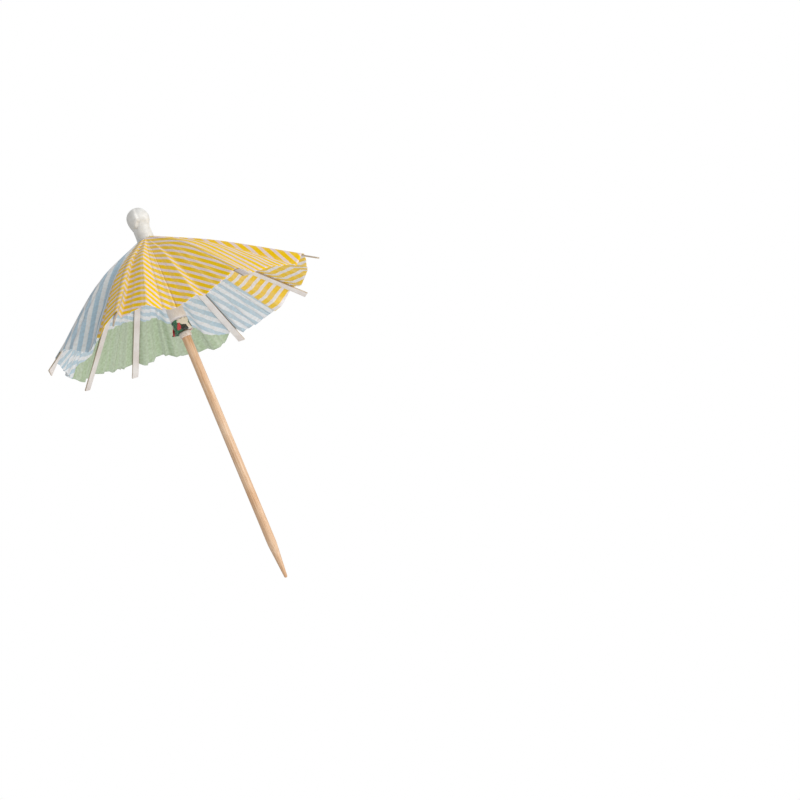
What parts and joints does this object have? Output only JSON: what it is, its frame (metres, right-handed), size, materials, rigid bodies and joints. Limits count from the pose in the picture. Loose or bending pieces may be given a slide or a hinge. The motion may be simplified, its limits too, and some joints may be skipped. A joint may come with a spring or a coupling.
{
  "type": "cocktail umbrella pick",
  "caption": "Paper cocktail umbrella on a wooden pick, with folding card ribs and struts, a sliding runner and a lock ring.",
  "frame": {"origin": "on the pick's axis, at the shoulder where its round shank meets its point", "axes": "+Z along the pick towards the cap, -Y towards the viewer of the picture, +X to the viewer's right"},
  "size_m": [0.0746, 0.0762, 0.1034],
  "materials": {
    "wood": "satin, fine straight grain",
    "white_cap": "soft satin",
    "card": "matte white card, greyer at the cut edges",
    "printed_paper": "matte printed scrap paper",
    "clear_ring": "clear soft plastic",
    "canopy_paper": "thin striped tissue"
  },
  "bodies": {
    "pick": {"pick": "wood", "crown_band": "card", "top_cap": "white_cap"},
    "runner": {"runner_sleeve": "card", "paper_roll": "printed_paper"},
    "lock_ring": {"lock_ring": "clear_ring"},
    "rib_1": {"rib_1": "card", "strut_tab_1": "card", "canopy_panel_1": "canopy_paper"},
    "strut_1": {"strut_1": "card"},
    "rib_2": {"rib_2": "card", "strut_tab_2": "card", "canopy_panel_2": "canopy_paper"},
    "strut_2": {"strut_2": "card"},
    "rib_3": {"rib_3": "card", "strut_tab_3": "card", "canopy_panel_3": "canopy_paper"},
    "strut_3": {"strut_3": "card"},
    "rib_4": {"rib_4": "card", "strut_tab_4": "card", "canopy_panel_4": "canopy_paper"},
    "strut_4": {"strut_4": "card"},
    "rib_5": {"rib_5": "card", "strut_tab_5": "card", "canopy_panel_5": "canopy_paper"},
    "strut_5": {"strut_5": "card"},
    "rib_6": {"rib_6": "card", "strut_tab_6": "card", "canopy_panel_6": "canopy_paper"},
    "strut_6": {"strut_6": "card"},
    "rib_7": {"rib_7": "card", "strut_tab_7": "card", "canopy_panel_7": "canopy_paper"},
    "strut_7": {"strut_7": "card"},
    "rib_8": {"rib_8": "card", "strut_tab_8": "card", "canopy_panel_8": "canopy_paper"},
    "strut_8": {"strut_8": "card"}
  },
  "joints": [
    {"name": "runner_slide", "type": "slide", "parent": "pick", "child": "runner", "axis": [0, 0, 1], "range_m": [-0.0111, 0]},
    {"name": "ring_slide", "type": "slide", "parent": "runner", "child": "lock_ring", "axis": [0, 0, 1], "range_m": [-0.038, 0]},
    {"name": "rib_fold_1", "type": "hinge", "parent": "pick", "child": "rib_1", "pos_m": [0.00099, -0.00179, 0.085], "axis": [0.866, 0.5, 0], "range_deg": [0, 51.55], "deforming": ["canopy_panel_1"]},
    {"name": "strut_fold_1", "type": "hinge", "parent": "rib_1", "child": "strut_1", "pos_m": [0.00671, -0.01169, 0.0769], "axis": [-0.866, -0.5, 0], "range_deg": [0, 100.08]},
    {"name": "rib_fold_2", "type": "hinge", "parent": "pick", "child": "rib_2", "pos_m": [0.00197, -0.00057, 0.085], "axis": [0.342, 0.9397, 0], "range_deg": [0, 53.35], "deforming": ["canopy_panel_2"]},
    {"name": "strut_fold_2", "type": "hinge", "parent": "rib_2", "child": "strut_2", "pos_m": [0.01294, -0.00456, 0.07726], "axis": [-0.342, -0.9397, 0], "range_deg": [0, 101.47]},
    {"name": "rib_fold_3", "type": "hinge", "parent": "pick", "child": "rib_3", "pos_m": [0.00179, 0.00099, 0.085], "axis": [-0.6018, 0.7986, 0], "range_deg": [0, 53.05], "deforming": ["canopy_panel_3"]},
    {"name": "strut_fold_3", "type": "hinge", "parent": "rib_3", "child": "strut_3", "pos_m": [0.01108, 0.008, 0.0772], "axis": [0.6018, -0.7986, 0], "range_deg": [0, 101.26]},
    {"name": "rib_fold_4", "type": "hinge", "parent": "pick", "child": "rib_4", "pos_m": [0.00057, 0.00197, 0.085], "axis": [-0.9455, 0.3256, 0], "range_deg": [0, 50.05], "deforming": ["canopy_panel_4"]},
    {"name": "strut_fold_4", "type": "hinge", "parent": "rib_4", "child": "strut_4", "pos_m": [0.00421, 0.01257, 0.0766], "axis": [0.9455, -0.3256, 0], "range_deg": [0, 98.91]},
    {"name": "rib_fold_5", "type": "hinge", "parent": "pick", "child": "rib_5", "pos_m": [-0.00099, 0.00179, 0.085], "axis": [-0.9135, -0.4067, 0], "range_deg": [0, 52.55], "deforming": ["canopy_panel_5"]},
    {"name": "strut_fold_5", "type": "hinge", "parent": "rib_5", "child": "strut_5", "pos_m": [-0.0057, 0.01236, 0.0771], "axis": [0.9135, 0.4067, 0], "range_deg": [0, 100.86]},
    {"name": "rib_fold_6", "type": "hinge", "parent": "pick", "child": "rib_6", "pos_m": [-0.00197, 0.00057, 0.085], "axis": [-0.7071, -0.7071, 0], "range_deg": [0, 52.55], "deforming": ["canopy_panel_6"]},
    {"name": "strut_fold_6", "type": "hinge", "parent": "rib_6", "child": "strut_6", "pos_m": [-0.01015, 0.00874, 0.0771], "axis": [0.7071, 0.7071, 0], "range_deg": [0, 101.16]},
    {"name": "rib_fold_7", "type": "hinge", "parent": "pick", "child": "rib_7", "pos_m": [-0.00179, -0.00099, 0.085], "axis": [0.4695, -0.8829, 0], "range_deg": [0, 50.55], "deforming": ["canopy_panel_7"]},
    {"name": "strut_fold_7", "type": "hinge", "parent": "rib_7", "child": "strut_7", "pos_m": [-0.01176, -0.00629, 0.0767], "axis": [-0.4695, 0.8829, 0], "range_deg": [0, 99.3]},
    {"name": "rib_fold_8", "type": "hinge", "parent": "pick", "child": "rib_8", "pos_m": [-0.00057, -0.00197, 0.085], "axis": [0.9272, -0.3746, 0], "range_deg": [0, 52.95], "deforming": ["canopy_panel_8"]},
    {"name": "strut_fold_8", "type": "hinge", "parent": "rib_8", "child": "strut_8", "pos_m": [-0.00492, -0.01274, 0.07718], "axis": [-0.9272, 0.3746, 0], "range_deg": [0, 101.17]}
  ],
  "couplings": [
    {"joint": "rib_fold_1", "follows": "runner_slide", "rad_per_m": -80.97},
    {"joint": "strut_fold_1", "follows": "runner_slide", "rad_per_m": -157.27},
    {"joint": "rib_fold_2", "follows": "runner_slide", "rad_per_m": -83.8},
    {"joint": "strut_fold_2", "follows": "runner_slide", "rad_per_m": -159.46},
    {"joint": "rib_fold_3", "follows": "runner_slide", "rad_per_m": -83.328},
    {"joint": "strut_fold_3", "follows": "runner_slide", "rad_per_m": -159.13},
    {"joint": "rib_fold_4", "follows": "runner_slide", "rad_per_m": -78.611},
    {"joint": "strut_fold_4", "follows": "runner_slide", "rad_per_m": -155.42},
    {"joint": "rib_fold_5", "follows": "runner_slide", "rad_per_m": -82.542},
    {"joint": "strut_fold_5", "follows": "runner_slide", "rad_per_m": -158.5},
    {"joint": "rib_fold_6", "follows": "runner_slide", "rad_per_m": -82.542},
    {"joint": "strut_fold_6", "follows": "runner_slide", "rad_per_m": -158.97},
    {"joint": "rib_fold_7", "follows": "runner_slide", "rad_per_m": -79.397},
    {"joint": "strut_fold_7", "follows": "runner_slide", "rad_per_m": -156.04},
    {"joint": "rib_fold_8", "follows": "runner_slide", "rad_per_m": -83.171},
    {"joint": "strut_fold_8", "follows": "runner_slide", "rad_per_m": -158.99}
  ]
}
